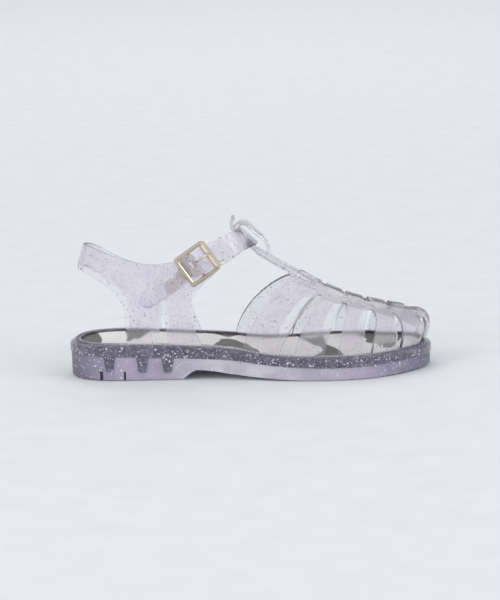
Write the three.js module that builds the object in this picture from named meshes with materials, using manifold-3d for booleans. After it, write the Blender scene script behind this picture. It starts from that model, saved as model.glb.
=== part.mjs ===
// Jelly sandal, right shoe: moulded sole, printed insole, caged upper with T-bar and ankle strap, square buckle.
// Millimetres. X runs from heel to toe, Z is up, and the outer side of the foot is at negative Y.
import * as THREE from 'three';
import { mergeVertices } from 'three/addons/utils/BufferGeometryUtils.js';
import Module from 'manifold-3d';

const wasm = await Module();
wasm.setup();

// Driving sizes of the shoe
const SOLE_LENGTH = 250;
const BALL_WIDTH = 91;
const HEEL_LIP_HEIGHT = 23.6;
const INSTEP_HEIGHT = 65.6;
const ANKLE_WIDTH = 58;
const BACK_TOP_HEIGHT = 91.4;
const ARCH_RISE = 7.2;
const TOE_SPRING = 2.4;

// Sole details
const BAND_HEIGHT = 7.2;
const BAND_STEP = 0.7;
const LIP_CHAMFER = 0.8;
const LAND_WIDTH = 4.5;
const LAND_RISE = 1.3;
const RECESS_DEPTH = 3.6;
const SOLE_EDGE_ROUND = 1.3;
const TOOTH_REACH = 10;
const TOOTH_TOP_WIDTH = 8;
const TOOTH_TIP_WIDTH = 4;
const NOTCH_HEIGHT = 6.8;
const NOTCH_DEPTH = 7;
const TREAD_WIDTH = 3;
const TREAD_DEPTH = 1.4;
const TREAD_PITCH = 11;

// Walls and clearances
const FIT_GAP = 0.3;
const UPPER_WALL = 2.2;
const RIM_WALL = 2.8;
const FOOT_SINK = 0.3;
const FOOT_DEPTH = 1.4;
const RIDGE_HEIGHT = 5.4;
const RIDGE_SHARPNESS = 7;
const RIM_PROUD = 0.4;
const INSOLE_THICKNESS = 2.2;

// Spine, pads and T-bar
const PAD_RAISE = 1.3;
const PAD_SINK = 0.7;
const PAD_END_SHARE = 0.04;
const T_BAR_WIDTH = 14;
const T_BAR_THICKNESS = 3.4;
const LOOP_WIDTH = 13;
const LOOP_WALL = 2.2;

// Ankle strap, buckle, chape and rivet
const STRAP_WIDTH = 15.5;
const STRAP_THICKNESS = 1.8;
const STRAP_HOLE = 2.4;
const BUCKLE_SIZE = 23.6;
const BUCKLE_BAR = 2.8;
const BUCKLE_THICKNESS = 2.2;
const BUCKLE_BEVEL = 0.6;
const BUCKLE_CORNER = 1.4;
const BUCKLE_SLOPE = 34.7;
const BUCKLE_LIFT = 5.2;
const FRONT_BAR = 1.7;
const FRONT_BAR_REACH = 1.1;
const CENTRE_BAR_RADIUS = 0.7;
const CENTRE_BAR_ALONG = -1;
const CENTRE_BAR_LIFT = 2.8;
const ROLLER_RADIUS = 1.45;
const ROLLER_WALL = 0.4;
const ROLLER_GAP = 2;
const PRONG_RADIUS = 0.65;
const PRONG_ACROSS = 1.3;
const COLLAR_WALL = 0.55;
const COLLAR_LENGTH = 4.2;
const CHAPE_WIDTH = 8;
const CHAPE_LOOP_WIDTH = 15.8;
const CHAPE_LOOP_ACROSS = 0.4;
const CHAPE_THICKNESS = 1;
const CHAPE_DISC_RADIUS = 5.4;
const RIVET_HEAD_RADIUS = 3.2;
const RIVET_SHANK_RADIUS = 1.3;
const RIVET_HEAD_THICKNESS = 0.9;
const RIVET_BACK_RADIUS = 3;
const RIVET_RING = 0.9;
const RIVET_EDGE = 0.3;
const RIVET_ALONG = -23.3;
const RIVET_ACROSS = -3.3;

// Small steps of the moulding
const FOOT_EDGE = 0.2;
const STEP_SLOPE = 0.4;
const RIM_EDGE = 0.4;
const INSOLE_EDGE = 0.5;
const STRAP_SWEEP = 8;
const MEDIAL_DROP = 11;
const LATERAL = -1;
const MEDIAL = 1;
const SIDE_STEPS = 36;

// Plan of the sole: along is a share of the length, the two sides are shares of the ball width
const PLAN = [
  { along: 0, lateral: 0, medial: 0 },
  { along: 0.03, lateral: 0.222, medial: 0.225 },
  { along: 0.08, lateral: 0.311, medial: 0.313 },
  { along: 0.15, lateral: 0.341, medial: 0.341 },
  { along: 0.25, lateral: 0.346, medial: 0.33 },
  { along: 0.34, lateral: 0.352, medial: 0.3 },
  { along: 0.42, lateral: 0.374, medial: 0.29 },
  { along: 0.5, lateral: 0.414, medial: 0.324 },
  { along: 0.58, lateral: 0.465, medial: 0.385 },
  { along: 0.66, lateral: 0.5, medial: 0.45 },
  { along: 0.74, lateral: 0.505, medial: 0.495 },
  { along: 0.82, lateral: 0.465, medial: 0.49 },
  { along: 0.89, lateral: 0.363, medial: 0.44 },
  { along: 0.95, lateral: 0.22, medial: 0.36 },
  { along: 0.985, lateral: 0.095, medial: 0.25 },
  { along: 1, lateral: -0.077, medial: 0.077 },
];

// Height of the sole's lip and of its dark band: shares of the lip height at the heel and of the band height
const LIP = [
  { at: 0, lip: 0.97, band: 0.85 },
  { at: 0.06, lip: 1, band: 0.9 },
  { at: 0.16, lip: 0.998, band: 0.96 },
  { at: 0.3, lip: 0.95, band: 1 },
  { at: 0.4, lip: 0.9, band: 0.97 },
  { at: 0.46, lip: 0.84, band: 0.9 },
  { at: 0.52, lip: 0.72, band: 0.8 },
  { at: 0.58, lip: 0.66, band: 0.78 },
  { at: 0.68, lip: 0.64, band: 0.84 },
  { at: 0.8, lip: 0.635, band: 0.84 },
  { at: 0.9, lip: 0.64, band: 0.8 },
  { at: 1, lip: 0.64, band: 0.75 },
];

// Underside between heel and ball: along is a share of the length, rise of the arch rise
const ARCH = [
  { along: 0.31, rise: 0 },
  { along: 0.323, rise: 0.4 },
  { along: 0.337, rise: 0.78 },
  { along: 0.35, rise: 0.98 },
  { along: 0.385, rise: 0.9 },
  { along: 0.44, rise: 0.62 },
  { along: 0.5, rise: 0.36 },
  { along: 0.57, rise: 0.16 },
  { along: 0.66, rise: 0 },
];
const TOE_SPRING_START = 0.84;
const TOOTH_PLACES = [0.112, 0.202, 0.271];
const NOTCHES = [
  { along: 0.09, width: 2.4 },
  { along: 0.154, width: 1.6 },
];
const TREAD_ROWS = [
  { from: 0.08, count: 3, reach: 0.2 },
  { from: 0.68, count: 6, reach: 0.32 },
];

// Spine of the cage on its outer face: shares of the length, the ball width and the instep height
const SPINE = [
  { at: 0.58, across: 0, height: 1.14 },
  { at: 0.64, across: 0.01, height: 1.035 },
  { at: 0.66, across: 0.014, height: 0.99 },
  { at: 0.7, across: 0.02, height: 0.904 },
  { at: 0.756, across: 0.028, height: 0.8 },
  { at: 0.816, across: 0.038, height: 0.723 },
  { at: 0.872, across: 0.05, height: 0.671 },
  { at: 0.92, across: 0.06, height: 0.63 },
  { at: 0.945, across: 0.066, height: 0.6 },
];

// Cross straps: places along the sole edge and along the spine, how full each side is, how far it bulges in
// millimetres, and how far its two edges sweep forward as shares of the strap sweep
const STRAPS = [
  {
    rear: 0.474, medialRear: 0.458, front: 0.573, topRear: 0.64, topFront: 0.701, lateral: 1.34, medial: 1.56,
    bulge: 0, ridge: 0.1, sweepRear: 0, sweepFront: 0.8,
  },
  {
    rear: 0.615, medialRear: 0.615, front: 0.697, topRear: 0.709, topFront: 0.754, lateral: 1.5, medial: 1.64,
    bulge: 0, ridge: 0.45, sweepRear: 0.85, sweepFront: 0.6,
  },
  {
    rear: 0.735, medialRear: 0.735, front: 0.8, topRear: 0.762, topFront: 0.809, lateral: 1.7, medial: 1.75,
    bulge: 0.5, ridge: 0.75, sweepRear: 0.7, sweepFront: 0.62,
  },
  {
    rear: 0.829, medialRear: 0.829, front: 0.897, topRear: 0.82, topFront: 0.87, lateral: 1.85, medial: 1.9,
    bulge: 1.2, ridge: 0.9, sweepRear: 0.88, sweepFront: 0.5,
  },
  {
    rear: 0.911, medialRear: 0.911, front: 0.962, topRear: 0.876, topFront: 0.923, lateral: 2, medial: 2,
    bulge: 2.2, ridge: 1.1, sweepRear: 0.65, sweepFront: 0.95,
  },
];
const TOE_BAND = [
  { base: 0.971, top: 0.928, fullness: 2.1, bulge: 3.2, ridge: 0.9, sweep: 0.95 },
  { base: 0.9775, top: 0.932, fullness: 2.2, bulge: 3.8, ridge: 0.45, sweep: 0.8 },
];
const TOE_TIP_RIB = { top: 0.936, fullness: 2.3, bulge: 4.2, ridge: 0, sweep: 0.7 };
const BULGE_START = 0.08;
const SWEEP_START = 1.5;
const SWEEP_END = 4;
const RIB_ROWS = [0, 0.005, 0.025, 0.06, 0.12, 0.2, 0.3, 0.42, 0.55, 0.67, 0.75, 0.8, 0.87, 0.94, 1];
const GAP_END_ROW = 10;
const PAD_FIRST_ROW = 11;
const GAP_CORNER = 0.22;

// Quarter seen from the side: shares of the sole length and of the back strap's top height, 0 where it meets the rim
const QUARTER = [
  [-0.02, 0.99], [0.046, 1], [0.066, 0.998], [0.086, 0.985], [0.119, 0.953], [0.153, 0.925], [0.178, 0.903],
  [0.202, 0.886], [0.227, 0.876], [0.251, 0.876], [0.29, 0.888], [0.34, 0.898], [0.385, 0.888], [0.418, 0.853],
  [0.415, 0.834], [0.398, 0.781], [0.383, 0.748], [0.364, 0.689], [0.348, 0.636], [0.335, 0.582], [0.333, 0.528],
  [0.338, 0.454], [0.35, 0.352], [0.363, 0.27], [0.366, 0], [0.162, 0], [0.162, 0.283], [0.161, 0.398],
  [0.157, 0.499], [0.155, 0.561], [0.148, 0.602], [0.134, 0.663], [0.117, 0.707], [0.092, 0.752], [0.067, 0.791],
  [0.04, 0.815], [0.028, 0.822], [-0.02, 0.83],
];
const DROP_START = 0.04;
const DROP_END = 0.2;
const SLOT = [
  [0.249, 0.15], [0.251, 0.333], [0.2515, 0.48], [0.2545, 0.496], [0.2595, 0.496], [0.2635, 0.478],
  [0.272, 0.364], [0.276, 0.15],
];
const SHELL_LEVELS = [0.16, 0.26, 0.36, 0.47, 0.59, 0.72, 0.86, 1.05];
const SHELL_FRONT = 0.46;
const SHELL_STEPS = 15;
const SHELL_BACK = [
  { at: 0.15, back: 5.5 },
  { at: 0.5, back: 4.5 },
  { at: 0.82, back: 6.9 },
  { at: 1, back: 11.5 },
  { at: 1.05, back: 13 },
];
const SHELL_ROUND_REACH = 0.17;
const SHELL_ROUNDNESS = 2.2;

// T-bar and strap loop in the middle plane: shares of the sole length and of the instep height
const T_BAR = [
  { x: 0.68, z: 0.905 }, { x: 0.655, z: 0.957 }, { x: 0.62, z: 1.04 }, { x: 0.58, z: 1.131 }, { x: 0.545, z: 1.213 },
  { x: 0.522, z: 1.27 },
];
const LOOP_INNER = [
  { x: 0.54, z: 1.222 }, { x: 0.518, z: 1.285 }, { x: 0.49, z: 1.38 }, { x: 0.463, z: 1.477 }, { x: 0.453, z: 1.552 },
  { x: 0.459, z: 1.628 },
];
const LOOP_OUTER = [
  { x: 0.552, z: 1.2 }, { x: 0.555, z: 1.28 }, { x: 0.543, z: 1.39 }, { x: 0.521, z: 1.467 }, { x: 0.498, z: 1.555 },
  { x: 0.484, z: 1.573 }, { x: 0.471, z: 1.55 }, { x: 0.462, z: 1.5 },
];
const TAB_FLARE = 1.25;

// Buckle's middle: shares of the sole length and of the back strap's top height
const BUCKLE_PLACE = { x: 0.3592, z: 0.8862 };

// Ankle strap from the inner quarter through the loop to the buckle. The columns are shares of the sole length, of
// half the ankle width and of the height: that of the back strap where loop is 0, and that of the loop where it is 1.
// Lean is the tilt of the strap's width in degrees
const LOOP_RISE = 1.393;
const STRAP_ROUTE = [
  { x: 0.336, y: 0.972, z: 0.706, loop: 0, lean: 32, width: 0.9 },
  { x: 0.368, y: 0.986, z: 0.751, loop: 0, lean: 33, width: 1 },
  { x: 0.4056, y: 0.972, z: 0.81, loop: 0.3, lean: 34, width: 1 },
  { x: 0.446, y: 0.862, z: 0.886, loop: 0.6, lean: 36, width: 1 },
  { x: 0.478, y: 0.638, z: 0.963, loop: 0.9, lean: 41, width: 1 },
  { x: 0.4968, y: 0.328, z: 1.013, loop: 1, lean: 46, width: 1 },
  { x: 0.5008, y: 0, z: 1.024, loop: 1, lean: 48, width: 1 },
  { x: 0.4976, y: -0.328, z: 1.031, loop: 1, lean: 47, width: 1 },
  { x: 0.4824, y: -0.672, z: 1.039, loop: 0.9, lean: 41, width: 1 },
  { x: 0.4508, y: -0.952, z: 1.014, loop: 0.6, lean: 36, width: 1 },
  { x: 0.4195, y: -1.064, z: 0.978, loop: 0.3, lean: 35, width: 1 },
];
// Buckled end of the strap in the buckle's own directions, along, across and out from the quarter, all as shares of
// the buckle's size: under the front bar, over the chape's loop, under the back bar and over the rivet
const STRAP_END = [
  { along: 0.449, across: -0.017, out: 0.085, width: 1 },
  { along: 0.22, across: 0, out: 0.165, width: 1 },
  { along: -0.042, across: 0.013, out: 0.257, width: 1 },
  { along: -0.229, across: 0.021, out: 0.203, width: 1 },
  { along: -0.376, across: 0.034, out: 0.116, width: 1 },
  { along: -0.53, across: 0.038, out: 0.114, width: 1 },
  { along: -0.74, across: 0.036, out: 0.142, width: 0.99 },
  { along: -0.99, across: 0.03, out: 0.166, width: 0.97 },
  { along: -1.23, across: 0.017, out: 0.142, width: 0.93 },
  { along: -1.5, across: -0.002, out: 0.1, width: 0.85 },
  { along: -1.75, across: -0.026, out: 0.074, width: 0.74 },
  { along: -1.9, across: -0.04, out: 0.066, width: 0.62 },
  { along: -1.985, across: -0.047, out: 0.063, width: 0.42 },
  { along: -2.02, across: -0.05, out: 0.062, width: 0.2 },
];
const STRAP_HOLE_PLACE = { along: 0.787, across: -0.108 };
const PRONG_SLOT = { along: 0.085, length: 0.27 };

// Prong from its collar to its tip, and the chape's flat run from the rivet to its loop: shares of the buckle's size,
// the chape's width from its neck at 0 to its loop at 1
const PRONG_ROUTE = [
  { along: -0.025, out: 0.189 }, { along: 0.055, out: 0.206 }, { along: 0.15, out: 0.255 }, { along: 0.26, out: 0.302 },
  { along: 0.4, out: 0.324 }, { along: 0.5, out: 0.318 },
];
const CHAPE_RUN = [
  { along: -0.987, across: -0.14, widening: 0 },
  { along: -0.76, across: -0.1, widening: -0.05 },
  { along: -0.53, across: -0.04, widening: 0.17 },
  { along: -0.37, across: 0.008, widening: 0.7 },
  { along: -0.24, across: 0.017, widening: 1 },
  { along: -0.14, across: 0.017, widening: 1 },
];
const CHAPE_ARC = { from: -90, to: 150, steps: 6 };
const CHAPE_RETURN = [{ along: -0.14, out: 0.116 }, { along: -0.195, out: 0.074 }, { along: -0.262, out: 0.055 }];
const CENTRE_BAR = [
  { across: -0.441, lift: 1 }, { across: -0.411, lift: 0.25 }, { across: -0.364, lift: 0 }, { across: 0, lift: 0 },
  { across: 0.364, lift: 0 }, { across: 0.411, lift: 0.25 }, { across: 0.441, lift: 1 },
];
const EDGE_ROUND = 0.45;
const SHORTEST_EDGE = 0.03;
const DEGREE = Math.PI / 180;

// Smooth curve through a table's rows, read at one place
function rowSlope(table, column, row) {
  const before = table[Math.max(row - 1, 0)];
  const after = table[Math.min(row + 1, table.length - 1)];
  return (after[column] - before[column]) / (after.at - before.at);
}

function readTable(table, column, place) {
  const first = table[0];
  const last = table[table.length - 1];
  const held = Math.min(Math.max(place, first.at), last.at);
  let row = 0;
  while (row < table.length - 2 && held > table[row + 1].at) {
    row += 1;
  }
  const span = table[row + 1].at - table[row].at;
  const share = (held - table[row].at) / span;
  const squared = share * share;
  const cubed = squared * share;
  const startSlope = rowSlope(table, column, row) * span;
  const endSlope = rowSlope(table, column, row + 1) * span;
  return (2 * cubed - 3 * squared + 1) * table[row][column] + (cubed - 2 * squared + share) * startSlope
    + (3 * squared - 2 * cubed) * table[row + 1][column] + (cubed - squared) * endSlope;
}

function smoothStep(low, high, value) {
  return THREE.MathUtils.smoothstep(value, low, high);
}

// Closed solids for joining and cutting
function solidOf(geometry) {
  const bare = geometry.clone();
  bare.deleteAttribute('normal');
  bare.deleteAttribute('uv');
  const merged = mergeVertices(bare, 1e-5);
  return new wasm.Manifold(new wasm.Mesh({
    numProp: 3,
    vertProperties: new Float32Array(merged.attributes.position.array),
    triVerts: new Uint32Array(merged.index.array),
  }));
}

function solidFrom(points, triangles) {
  const geometry = new THREE.BufferGeometry().setFromPoints(points);
  geometry.setIndex(triangles.flat());
  return solidOf(geometry);
}

function geometryOf(solid) {
  const mesh = solid.getMesh();
  const points = [];
  for (let k = 0; k < mesh.numVert; k += 1) {
    points.push(new THREE.Vector3().fromArray(mesh.vertProperties, k * mesh.numProp));
  }
  const geometry = new THREE.BufferGeometry().setFromPoints(points);
  geometry.setIndex(withoutShortEdges(points, Array.from(mesh.triVerts)));
  geometry.computeVertexNormals();
  return geometry;
}

// Cuts leave edges far shorter than the shoe shows: their ends become one corner
function withoutShortEdges(points, corners) {
  const standsFor = points.map((point, k) => k);
  const find = (corner) => {
    let root = corner;
    while (standsFor[root] !== root) {
      root = standsFor[root];
    }
    return root;
  };
  for (let k = 0; k < corners.length; k += 3) {
    for (let side = 0; side < 3; side += 1) {
      const first = find(corners[k + side]);
      const second = find(corners[k + ((side + 1) % 3)]);
      if (first !== second && points[first].distanceTo(points[second]) < SHORTEST_EDGE) {
        standsFor[Math.max(first, second)] = Math.min(first, second);
      }
    }
  }
  const kept = [];
  for (let k = 0; k < corners.length; k += 3) {
    const face = [find(corners[k]), find(corners[k + 1]), find(corners[k + 2])];
    if (face[0] !== face[1] && face[1] !== face[2] && face[0] !== face[2]) {
      kept.push(...face);
    }
  }
  return kept;
}

function joinAll(solids) {
  return solids.reduce((whole, piece) => whole.add(piece));
}

function cutAll(whole, tools) {
  return tools.reduce((rest, tool) => rest.subtract(tool), whole);
}

// Skin between rings, and its two end faces
function skinBetween(rings) {
  const count = rings[0].length;
  const triangles = [];
  for (let level = 0; level < rings.length - 1; level += 1) {
    for (let k = 0; k < count; k += 1) {
      const next = (k + 1) % count;
      const low = level * count;
      const high = low + count;
      triangles.push([low + k, low + next, high + next]);
      triangles.push([low + k, high + next, high + k]);
    }
  }
  return triangles;
}

function fanCap(start, count, flip) {
  const triangles = [];
  for (let k = 1; k < count - 1; k += 1) {
    triangles.push(flip ? [start, start + k + 1, start + k] : [start, start + k, start + k + 1]);
  }
  return triangles;
}

function acrossCap(start, count, flip) {
  const half = count / 2;
  const triangles = [];
  for (let k = 0; k < half; k += 1) {
    const near = start + k;
    const far = start + ((count - k) % count);
    const nearNext = start + k + 1;
    const farNext = start + count - k - 1;
    if (k > 0) {
      triangles.push([near, nearNext, far]);
    }
    if (k < half - 1 || k === 0) {
      triangles.push([far, nearNext, farNext]);
    }
  }
  return flip ? triangles.map((corner) => [corner[0], corner[2], corner[1]]) : triangles;
}

function loft(rings, cap) {
  const count = rings[0].length;
  const triangles = skinBetween(rings);
  triangles.push(...cap(0, count, true));
  triangles.push(...cap((rings.length - 1) * count, count, false));
  return solidFrom(rings.flat(), triangles);
}

// Wall of even thickness on a sheet of four-sided faces, whose shared points are welded first
function weld(points, faces) {
  const numbers = new Map();
  const kept = [];
  const renumbered = points.map((point) => {
    const key = point.toArray().map((value) => Math.round(value * 1000)).join();
    if (!numbers.has(key)) {
      numbers.set(key, kept.length);
      kept.push(point);
    }
    return numbers.get(key);
  });
  return { points: kept, faces: faces.map((face) => face.map((corner) => renumbered[corner])) };
}

function sheetNormals(points, faces) {
  const normals = points.map(() => new THREE.Vector3());
  faces.forEach((face) => {
    const first = points[face[2]].clone().sub(points[face[0]]);
    const second = points[face[3]].clone().sub(points[face[1]]);
    const normal = first.cross(second);
    face.forEach((corner) => normals[corner].add(normal));
  });
  return normals.map((normal) => normal.normalize());
}

function thickSheet(rawPoints, rawFaces, outward, wall) {
  const { points, faces } = weld(rawPoints, rawFaces);
  const normals = sheetNormals(points, faces);
  const outer = points.map((point, k) => point.clone().addScaledVector(normals[k], outward));
  const inner = points.map((point, k) => point.clone().addScaledVector(normals[k], outward - wall));
  const count = points.length;
  const edges = new Set();
  faces.forEach((face) => face.forEach((corner, k) => edges.add(`${corner},${face[(k + 1) % 4]}`)));
  const triangles = [];
  faces.forEach((face) => {
    triangles.push([face[0], face[1], face[2]], [face[0], face[2], face[3]]);
    triangles.push([count + face[0], count + face[2], count + face[1]]);
    triangles.push([count + face[0], count + face[3], count + face[2]]);
    face.forEach((corner, k) => {
      const next = face[(k + 1) % 4];
      if (!edges.has(`${next},${corner}`)) {
        triangles.push([next, corner, count + corner], [next, count + corner, count + next]);
      }
    });
  });
  return solidFrom([...outer, ...inner], triangles);
}

// Side view outlines pushed through the shoe across its width
function throughWidth(points, fromY, toY) {
  const shape = new THREE.Shape(points.map(([x, z]) => new THREE.Vector2(x, z)));
  const geometry = new THREE.ExtrudeGeometry(shape, { depth: toY - fromY, bevelEnabled: false, steps: 1 });
  geometry.rotateX(Math.PI / 2);
  geometry.translate(0, toY, 0);
  return solidOf(geometry);
}

function block(size, centre) {
  const geometry = new THREE.BoxGeometry(size[0], size[1], size[2]);
  geometry.translate(centre[0], centre[1], centre[2]);
  return solidOf(geometry);
}

// Plan outline: a turn of 0 is the back of the heel and 1 is the tip of the toe
function turnAt(alongShare) {
  return Math.acos(1 - 2 * THREE.MathUtils.clamp(alongShare, 0, 1)) / Math.PI;
}

const PLAN_BY_TURN = PLAN.map((row) => ({ at: turnAt(row.along), lateral: row.lateral, medial: row.medial }));

function planPoint(side, turn) {
  const x = SOLE_LENGTH * (1 - Math.cos(Math.PI * turn)) / 2;
  const share = readTable(PLAN_BY_TURN, side === LATERAL ? 'lateral' : 'medial', turn);
  return new THREE.Vector2(x, side * share * BALL_WIDTH);
}

function insetPoint(side, turn, inset) {
  const step = 0.004;
  const before = planPoint(turn < step ? -side : side, Math.abs(turn - step));
  const after = planPoint(turn > 1 - step ? -side : side, turn > 1 - step ? 2 - turn - step : turn + step);
  const tangent = after.sub(before).normalize();
  const inward = new THREE.Vector2(-tangent.y, tangent.x).multiplyScalar(-side);
  return planPoint(side, turn).addScaledVector(inward, inset);
}

function planRing(inset, heightAt) {
  const ring = [];
  for (let k = 0; k <= SIDE_STEPS; k += 1) {
    const place = insetPoint(LATERAL, k / SIDE_STEPS, inset);
    ring.push(new THREE.Vector3(place.x, place.y, heightAt(place.x)));
  }
  for (let k = SIDE_STEPS - 1; k > 0; k -= 1) {
    const place = insetPoint(MEDIAL, k / SIDE_STEPS, inset);
    ring.push(new THREE.Vector3(place.x, place.y, heightAt(place.x)));
  }
  return ring;
}

function lipHeight(x) {
  return HEEL_LIP_HEIGHT * readTable(LIP, 'lip', x / SOLE_LENGTH);
}

function bandFoot(x) {
  return lipHeight(x) - BAND_HEIGHT * readTable(LIP, 'band', x / SOLE_LENGTH);
}

function landHeight(x) {
  return lipHeight(x) + LAND_RISE;
}

function floorHeight(x) {
  return landHeight(x) - RECESS_DEPTH;
}

// Sole
function soleCore() {
  const footEdge = BAND_STEP + FOOT_EDGE;
  return loft([
    planRing(footEdge + SOLE_EDGE_ROUND, () => 0),
    planRing(footEdge, () => SOLE_EDGE_ROUND),
    planRing(BAND_STEP, (x) => bandFoot(x)),
    planRing(0, (x) => bandFoot(x) + STEP_SLOPE),
    planRing(0, (x) => lipHeight(x) - LIP_CHAMFER),
    planRing(LIP_CHAMFER, lipHeight),
    planRing(LAND_WIDTH, landHeight),
    planRing(LAND_WIDTH, floorHeight),
  ], acrossCap);
}

function hangingTeeth() {
  const sleeve = loft([
    planRing(0.1, () => 2),
    planRing(0.1, (x) => bandFoot(x) + 1),
  ], acrossCap);
  const teeth = TOOTH_PLACES.map((place) => {
    const x = place * SOLE_LENGTH;
    const top = bandFoot(x) + 0.8;
    const tip = bandFoot(x) - TOOTH_REACH;
    return throughWidth([
      [x - TOOTH_TOP_WIDTH / 2, top], [x - TOOTH_TIP_WIDTH / 2 - 0.6, tip + 1.2], [x - TOOTH_TIP_WIDTH / 2, tip],
      [x + TOOTH_TIP_WIDTH / 2, tip], [x + TOOTH_TIP_WIDTH / 2 + 0.6, tip + 1.2], [x + TOOTH_TOP_WIDTH / 2, top],
    ], -BALL_WIDTH, BALL_WIDTH);
  });
  return sleeve.intersect(joinAll(teeth));
}

function archVoid() {
  const below = -5;
  const vault = ARCH.map((row) => [row.along * SOLE_LENGTH, row.rise * ARCH_RISE]);
  const first = vault[0][0];
  const last = vault[vault.length - 1][0];
  return throughWidth([[first - 0.01, below], ...vault, [last + 0.01, below]].reverse(), -BALL_WIDTH, BALL_WIDTH);
}

function toeVoid() {
  const start = TOE_SPRING_START * SOLE_LENGTH;
  const end = SOLE_LENGTH + 10;
  const middle = (start + end) / 2;
  return throughWidth([
    [start, -5], [end, -5], [end, TOE_SPRING * 1.3], [middle, TOE_SPRING * 0.36], [start, 0],
  ], -BALL_WIDTH, BALL_WIDTH);
}

function sideNotches() {
  const height = NOTCH_HEIGHT * 2;
  return NOTCHES.flatMap((notch) => [LATERAL, MEDIAL].map((side) => {
    const x = notch.along * SOLE_LENGTH;
    const edge = Math.abs(planPoint(side, turnAt(notch.along)).y);
    return block([notch.width, NOTCH_DEPTH * 2, height], [x, side * (edge + 1), 0]);
  }));
}

function treadGrooves() {
  return TREAD_ROWS.flatMap((row) => Array.from({ length: row.count }, (unused, k) => {
    const x = row.from * SOLE_LENGTH + k * TREAD_PITCH;
    return block([TREAD_WIDTH, row.reach * BALL_WIDTH * 2, TREAD_DEPTH * 2], [x, 0, 0]);
  }));
}

function outsole() {
  const body = soleCore().add(hangingTeeth());
  return cutAll(body, [archVoid(), toeVoid(), ...sideNotches(), ...treadGrooves()]);
}

// Insole
function insole() {
  const inset = LAND_WIDTH + FIT_GAP + RIM_WALL + FIT_GAP;
  const bottom = (x) => floorHeight(x) + FIT_GAP;
  return loft([
    planRing(inset, bottom),
    planRing(inset, (x) => bottom(x) + INSOLE_THICKNESS - INSOLE_EDGE),
    planRing(inset + INSOLE_EDGE, (x) => bottom(x) + INSOLE_THICKNESS),
  ], acrossCap);
}

// Rim that ties all feet of the upper together
function baseRim() {
  const outerInset = LAND_WIDTH + FIT_GAP;
  const bottom = (x) => floorHeight(x) + FIT_GAP;
  const top = (x) => landHeight(x) + RIM_PROUD;
  const outer = loft([
    planRing(outerInset, bottom),
    planRing(outerInset, (x) => top(x) - RIM_EDGE),
    planRing(outerInset + RIM_EDGE, top),
  ], acrossCap);
  const hollow = loft([
    planRing(outerInset + RIM_WALL, (x) => bottom(x) - 1),
    planRing(outerInset + RIM_WALL, (x) => top(x) + 1),
  ], acrossCap);
  return outer.subtract(hollow);
}

// Cage: every rib runs from the sole edge up to the spine
function spinePoint(share) {
  return new THREE.Vector3(
    share * SOLE_LENGTH,
    readTable(SPINE, 'across', share) * BALL_WIDTH,
    readTable(SPINE, 'height', share) * INSTEP_HEIGHT,
  );
}

function footInset() {
  return LAND_WIDTH + FIT_GAP + FOOT_SINK;
}

function turnOfFoot(side, x) {
  let low = 0;
  let high = 1;
  for (let k = 0; k < 24; k += 1) {
    const middle = (low + high) / 2;
    if (insetPoint(side, middle, footInset()).x < x) {
      low = middle;
    } else {
      high = middle;
    }
  }
  return (low + high) / 2;
}

function makeRib(side, base, top, form) {
  const turn = base >= 1 ? 1 : turnOfFoot(side, base * SOLE_LENGTH);
  const foot = insetPoint(side, turn, footInset());
  const outward = insetPoint(side, turn, 0).sub(foot).normalize();
  return {
    foot: new THREE.Vector3(foot.x, foot.y, landHeight(foot.x) - FOOT_DEPTH),
    head: spinePoint(top),
    outward: new THREE.Vector3(outward.x, outward.y, 0),
    fullness: form.fullness,
    bulge: form.bulge,
    ridge: form.ridge * RIDGE_HEIGHT,
    sweep: form.sweep * STRAP_SWEEP,
  };
}

function ribPoint(rib, inward) {
  const upward = (1 - (1 - inward) ** rib.fullness) ** (1 / rib.fullness);
  const swell = Math.max(upward - BULGE_START, 0) * (1 - upward) * 4;
  const point = new THREE.Vector3(
    THREE.MathUtils.lerp(rib.foot.x, rib.head.x, inward) + rib.sweep * upward ** SWEEP_START * (1 - inward ** SWEEP_END),
    THREE.MathUtils.lerp(rib.foot.y, rib.head.y, inward),
    THREE.MathUtils.lerp(rib.foot.z, rib.head.z - rib.ridge, upward) + rib.ridge * inward ** RIDGE_SHARPNESS,
  );
  return point.addScaledVector(rib.outward, rib.bulge * swell);
}

function strapRib(strap, side, share) {
  const outer = side === LATERAL;
  const base = THREE.MathUtils.lerp(outer ? strap.rear : strap.medialRear, strap.front, share);
  const top = THREE.MathUtils.lerp(strap.topRear, strap.topFront, share);
  const sweep = THREE.MathUtils.lerp(strap.sweepRear, strap.sweepFront, share);
  return makeRib(side, base, top, { ...strap, sweep, fullness: outer ? strap.lateral : strap.medial });
}

function sideRibs(side) {
  const ribs = [];
  STRAPS.forEach((strap) => {
    [0, 0.5, 1].forEach((share) => {
      ribs.push({ ...strapRib(strap, side, share), gapBefore: share === 0, gapAfter: share === 1 });
    });
  });
  TOE_BAND.forEach((band, k) => {
    ribs.push({ ...makeRib(side, band.base, band.top, band), gapBefore: k === 0 });
  });
  return ribs;
}

function cage() {
  const tip = makeRib(LATERAL, 1, TOE_TIP_RIB.top, TOE_TIP_RIB);
  const lateral = sideRibs(LATERAL);
  const medial = sideRibs(MEDIAL).reverse();
  const columns = [...lateral, tip, ...medial];
  const rows = RIB_ROWS.length;
  const points = columns.flatMap((rib) => RIB_ROWS.map((row) => ribPoint(rib, row)));
  const faces = [];
  const open = (k) => {
    const first = columns[k];
    const second = columns[k + 1];
    return (first.gapAfter && second.gapBefore) || (second.gapAfter && first.gapBefore);
  };
  for (let k = 0; k < columns.length - 1; k += 1) {
    const isGap = open(k);
    if (isGap) {
      roundGapEnd(points, k * rows, (k + 1) * rows);
    }
    for (let row = isGap ? GAP_END_ROW : 0; row < rows - 1; row += 1) {
      const here = k * rows + row;
      faces.push([here, here + rows, here + rows + 1, here + 1]);
    }
  }
  return thickSheet(points, faces, 0, UPPER_WALL);
}

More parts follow.
